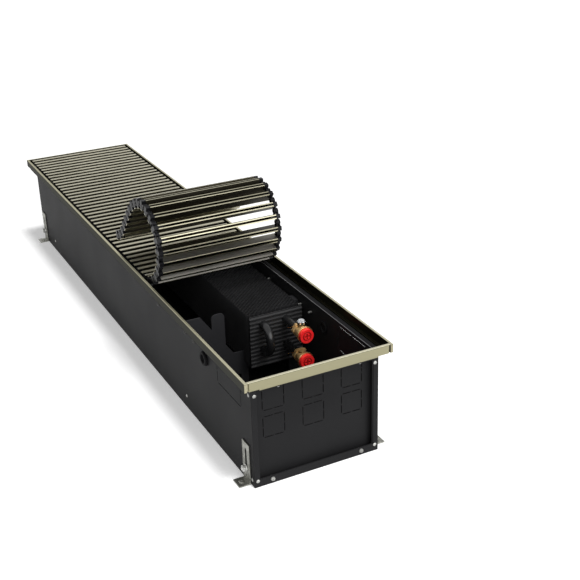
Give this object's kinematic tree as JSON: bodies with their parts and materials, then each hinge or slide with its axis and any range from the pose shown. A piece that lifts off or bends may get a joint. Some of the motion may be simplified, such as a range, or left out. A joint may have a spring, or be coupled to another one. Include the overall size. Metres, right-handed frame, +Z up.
{
  "type": "trench convector heater",
  "caption": "Long floor trench heater with a finned exchanger and a roll-up slatted grille, rolled back over its connection bay.",
  "frame": {"origin": "on the floor, under the middle of the trench", "axes": "+X across the width to the exchanger's side, +Y along the length away from the connection end, +Z up"},
  "size_m": [0.2586, 1.232, 0.3386],
  "materials": {
    "casing_paint": "matte powder coat",
    "frame_aluminium": "satin champagne anodised",
    "slat_aluminium": "satin champagne anodised",
    "link_plastic": "moulded matte",
    "fin_paint": "satin black paint",
    "zinc_steel": "zinc plated",
    "rubber": "matte",
    "brass": "machined",
    "chrome": "polished",
    "cap_plastic": "moulded satin"
  },
  "bodies": {
    "casing": {"trough": "casing_paint", "end_plate_near": "casing_paint", "end_plate_far": "casing_paint", "rail_left": "frame_aluminium", "rail_right": "frame_aluminium", "rail_near": "frame_aluminium", "rail_far": "frame_aluminium", "casing_rivets": "zinc_steel", "casing_screws": "zinc_steel", "cable_grommets": "rubber", "floor_joint_strip": "casing_paint", "bracket_near": "casing_paint", "bracket_far": "casing_paint", "fin_pack": "fin_paint", "end_fin_near": "fin_paint", "end_fin_far": "fin_paint", "water_tubes": "fin_paint", "return_bend_near": "fin_paint", "return_bends_far": "fin_paint", "union_nuts": "brass", "tee_upper": "brass", "tee_lower": "brass", "air_vent": "chrome", "blanking_plug": "brass", "foot_bolts": "zinc_steel", "foot_nuts": "zinc_steel"},
    "grille": {"grille_slats": "slat_aluminium", "grille_links": "link_plastic"},
    "roll_01": {"roll_slat_01": "slat_aluminium"},
    "roll_02": {"roll_slat_02": "slat_aluminium"},
    "roll_03": {"roll_slat_03": "slat_aluminium"},
    "roll_04": {"roll_slat_04": "slat_aluminium"},
    "roll_05": {"roll_slat_05": "slat_aluminium"},
    "roll_06": {"roll_slat_06": "slat_aluminium"},
    "roll_07": {"roll_slat_07": "slat_aluminium"},
    "roll_08": {"roll_slat_08": "slat_aluminium"},
    "roll_09": {"roll_slat_09": "slat_aluminium"},
    "roll_10": {"roll_slat_10": "slat_aluminium"},
    "roll_11": {"roll_slat_11": "slat_aluminium"},
    "roll_12": {"roll_slat_12": "slat_aluminium"},
    "roll_13": {"roll_slat_13": "slat_aluminium"},
    "roll_14": {"roll_slat_14": "slat_aluminium"},
    "roll_15": {"roll_slat_15": "slat_aluminium"},
    "roll_16": {"roll_slat_16": "slat_aluminium"},
    "roll_17": {"roll_slat_17": "slat_aluminium"},
    "roll_18": {"roll_slat_18": "slat_aluminium"},
    "roll_19": {"roll_slat_19": "slat_aluminium"},
    "roll_20": {"roll_slat_20": "slat_aluminium"},
    "roll_21": {"roll_slat_21": "slat_aluminium"},
    "roll_22": {"roll_slat_22": "slat_aluminium"},
    "foot_near_left": {"foot_near_left": "zinc_steel"},
    "foot_near_right": {"foot_near_right": "zinc_steel"},
    "foot_far_left": {"foot_far_left": "zinc_steel"},
    "foot_far_right": {"foot_far_right": "zinc_steel"},
    "dust_cap_upper": {"dust_cap_upper": "cap_plastic"},
    "dust_cap_lower": {"dust_cap_lower": "cap_plastic"},
    "air_vent_screw": {"air_vent_screw": "chrome"}
  },
  "joints": [
    {"name": "grille_lift", "type": "slide", "parent": "casing", "child": "grille", "axis": [0, 0, 1], "range_m": [0, 0.06]},
    {"name": "roll_hinge_01", "type": "hinge", "parent": "grille", "child": "roll_01", "pos_m": [0, -0.17, 0.1848], "axis": [1, 0, 0], "range_deg": [0, 10.4]},
    {"name": "roll_hinge_02", "type": "hinge", "parent": "roll_01", "child": "roll_02", "pos_m": [0, -0.18967, 0.18841], "axis": [1, 0, 0], "range_deg": [0, 10.4]},
    {"name": "roll_hinge_03", "type": "hinge", "parent": "roll_02", "child": "roll_03", "pos_m": [0, -0.20837, 0.19551], "axis": [1, 0, 0], "range_deg": [0, 10.4]},
    {"name": "roll_hinge_04", "type": "hinge", "parent": "roll_03", "child": "roll_04", "pos_m": [0, -0.22548, 0.20587], "axis": [1, 0, 0], "range_deg": [0, 10.4]},
    {"name": "roll_hinge_05", "type": "hinge", "parent": "roll_04", "child": "roll_05", "pos_m": [0, -0.24043, 0.21915], "axis": [1, 0, 0], "range_deg": [0, 17]},
    {"name": "roll_hinge_06", "type": "hinge", "parent": "roll_05", "child": "roll_06", "pos_m": [0, -0.25085, 0.23622], "axis": [1, 0, 0], "range_deg": [0, 17]},
    {"name": "roll_hinge_07", "type": "hinge", "parent": "roll_06", "child": "roll_07", "pos_m": [0, -0.25583, 0.25559], "axis": [1, 0, 0], "range_deg": [0, 17]},
    {"name": "roll_hinge_08", "type": "hinge", "parent": "roll_07", "child": "roll_08", "pos_m": [0, -0.25492, 0.27557], "axis": [1, 0, 0], "range_deg": [0, 17]},
    {"name": "roll_hinge_09", "type": "hinge", "parent": "roll_08", "child": "roll_09", "pos_m": [0, -0.24821, 0.29441], "axis": [1, 0, 0], "range_deg": [0, 17]},
    {"name": "roll_hinge_10", "type": "hinge", "parent": "roll_09", "child": "roll_10", "pos_m": [0, -0.23628, 0.31047], "axis": [1, 0, 0], "range_deg": [0, 17]},
    {"name": "roll_hinge_11", "type": "hinge", "parent": "roll_10", "child": "roll_11", "pos_m": [0, -0.22019, 0.32234], "axis": [1, 0, 0], "range_deg": [0, 17]},
    {"name": "roll_hinge_12", "type": "hinge", "parent": "roll_11", "child": "roll_12", "pos_m": [0, -0.20132, 0.32898], "axis": [1, 0, 0], "range_deg": [0, 17]},
    {"name": "roll_hinge_13", "type": "hinge", "parent": "roll_12", "child": "roll_13", "pos_m": [0, -0.18134, 0.32982], "axis": [1, 0, 0], "range_deg": [0, 17]},
    {"name": "roll_hinge_14", "type": "hinge", "parent": "roll_13", "child": "roll_14", "pos_m": [0, -0.16198, 0.32478], "axis": [1, 0, 0], "range_deg": [0, 10]},
    {"name": "roll_hinge_15", "type": "hinge", "parent": "roll_14", "child": "roll_15", "pos_m": [0, -0.1438, 0.31645], "axis": [1, 0, 0], "range_deg": [0, 10]},
    {"name": "roll_hinge_16", "type": "hinge", "parent": "roll_15", "child": "roll_16", "pos_m": [0, -0.12734, 0.3051], "axis": [1, 0, 0], "range_deg": [0, 10]},
    {"name": "roll_hinge_17", "type": "hinge", "parent": "roll_16", "child": "roll_17", "pos_m": [0, -0.1131, 0.29105], "axis": [1, 0, 0], "range_deg": [0, 0.9]},
    {"name": "roll_hinge_18", "type": "hinge", "parent": "roll_17", "child": "roll_18", "pos_m": [0, -0.09908, 0.27679], "axis": [1, 0, 0], "range_deg": [0, 0.9]},
    {"name": "roll_hinge_19", "type": "hinge", "parent": "roll_18", "child": "roll_19", "pos_m": [0, -0.08529, 0.26231], "axis": [1, 0, 0], "range_deg": [0, 0.9]},
    {"name": "roll_hinge_20", "type": "hinge", "parent": "roll_19", "child": "roll_20", "pos_m": [0, -0.07172, 0.24761], "axis": [1, 0, 0], "range_deg": [0, 0.9]},
    {"name": "roll_hinge_21", "type": "hinge", "parent": "roll_20", "child": "roll_21", "pos_m": [0, -0.05839, 0.2327], "axis": [-1, 0, 0], "range_deg": [0, 18]},
    {"name": "roll_hinge_22", "type": "hinge", "parent": "roll_21", "child": "roll_22", "pos_m": [0, -0.04111, 0.22264], "axis": [-1, 0, 0], "range_deg": [0, 18]},
    {"name": "foot_slide_near_left", "type": "slide", "parent": "casing", "child": "foot_near_left", "axis": [0, 0, 1], "range_m": [-0.031, 0]},
    {"name": "foot_slide_near_right", "type": "slide", "parent": "casing", "child": "foot_near_right", "axis": [0, 0, 1], "range_m": [-0.031, 0]},
    {"name": "foot_slide_far_left", "type": "slide", "parent": "casing", "child": "foot_far_left", "axis": [0, 0, 1], "range_m": [-0.031, 0]},
    {"name": "foot_slide_far_right", "type": "slide", "parent": "casing", "child": "foot_far_right", "axis": [0, 0, 1], "range_m": [-0.031, 0]},
    {"name": "cap_pull_upper", "type": "slide", "parent": "casing", "child": "dust_cap_upper", "axis": [0, -1, 0], "range_m": [0, 0.014]},
    {"name": "cap_pull_lower", "type": "slide", "parent": "casing", "child": "dust_cap_lower", "axis": [0, -1, 0], "range_m": [0, 0.014]},
    {"name": "vent_screw_turn", "type": "hinge", "parent": "casing", "child": "air_vent_screw", "pos_m": [0.069, -0.42, 0.161], "axis": [0, 0, 1], "range_deg": [0, 360]}
  ]
}
